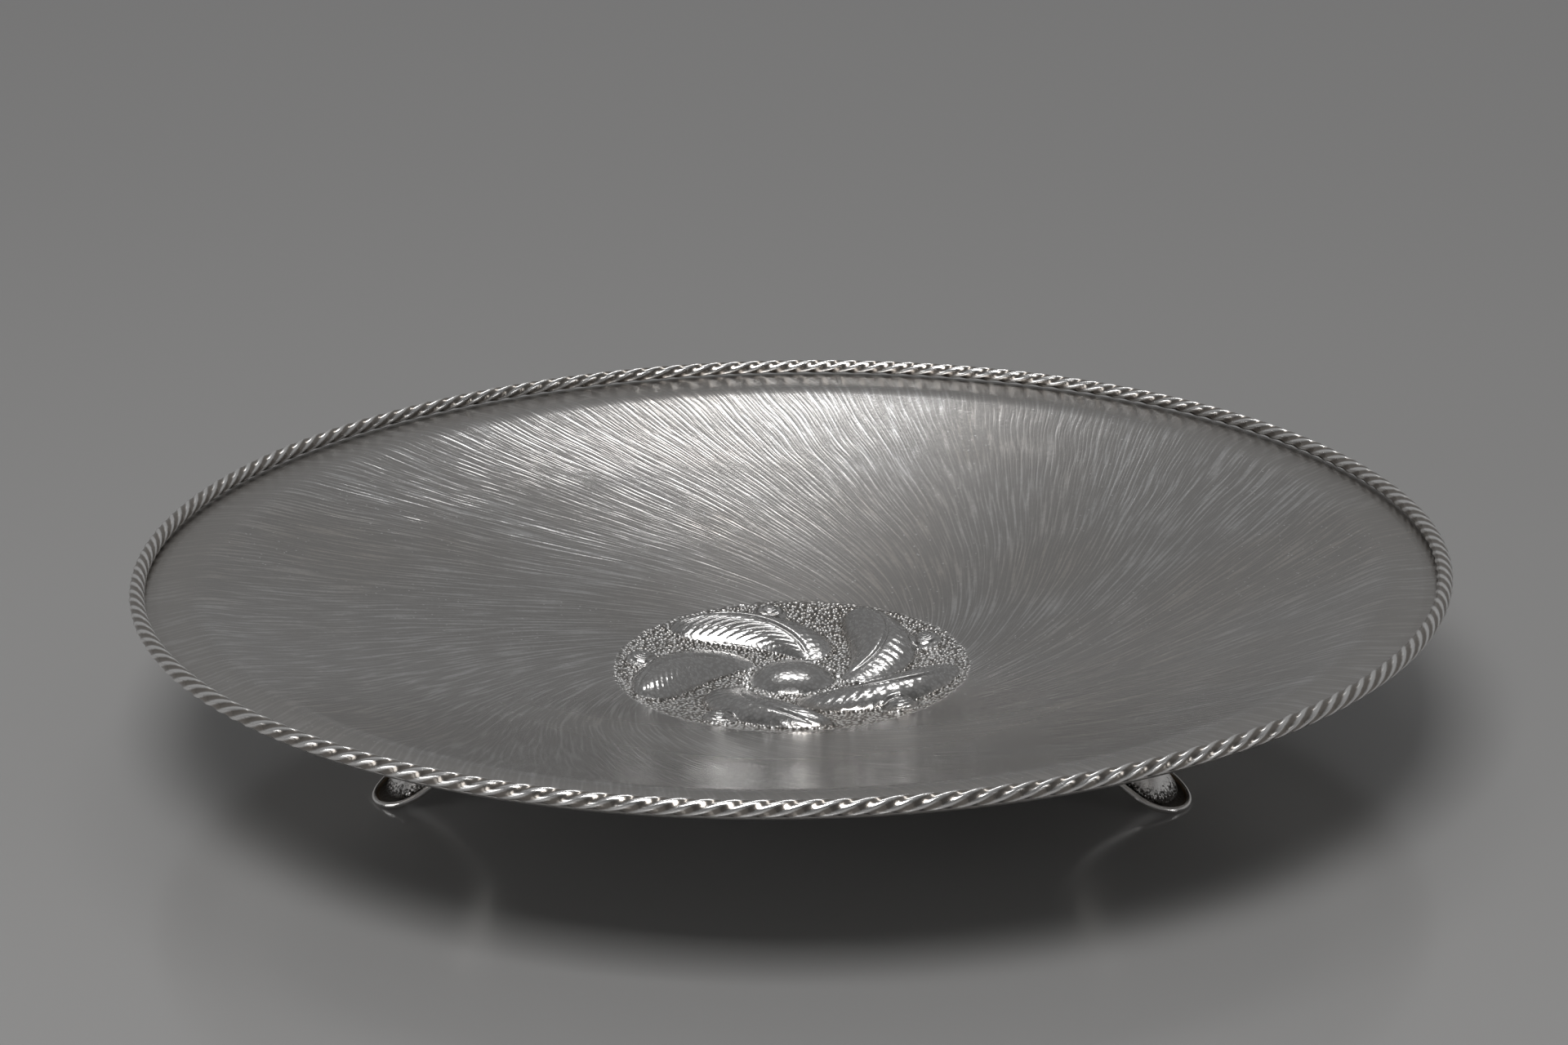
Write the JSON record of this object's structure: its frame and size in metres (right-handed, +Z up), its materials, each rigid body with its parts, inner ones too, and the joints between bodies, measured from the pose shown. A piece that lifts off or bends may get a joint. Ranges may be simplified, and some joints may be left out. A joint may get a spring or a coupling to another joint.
{
  "type": "shallow footed bowl",
  "caption": "Shallow round silver dish with a twisted wire rim, chased wall and embossed rosette, standing on three tongue feet that curl up to it.",
  "frame": {"origin": "on the table, under the middle of the dish", "axes": "+Z up out of the dish; +Y over the third foot, the one away from the viewer; +X to the viewer's right"},
  "size_m": [0.3, 0.3, 0.0439],
  "materials": {
    "chased_silver": "silver, finely chased with strokes that lie along a whirl, satin",
    "polished_silver": "silver, polished",
    "darkened_silver": "silver, darkened in the hollows and bright on the raised edge"
  },
  "bodies": {
    "root": {"dish": "chased_silver", "rim_wire": "polished_silver", "foot_plate_1": "darkened_silver", "foot_plate_2": "darkened_silver", "foot_plate_3": "darkened_silver", "foot_boss_1": "polished_silver", "foot_boss_2": "polished_silver", "foot_boss_3": "polished_silver"}
  },
  "joints": []
}
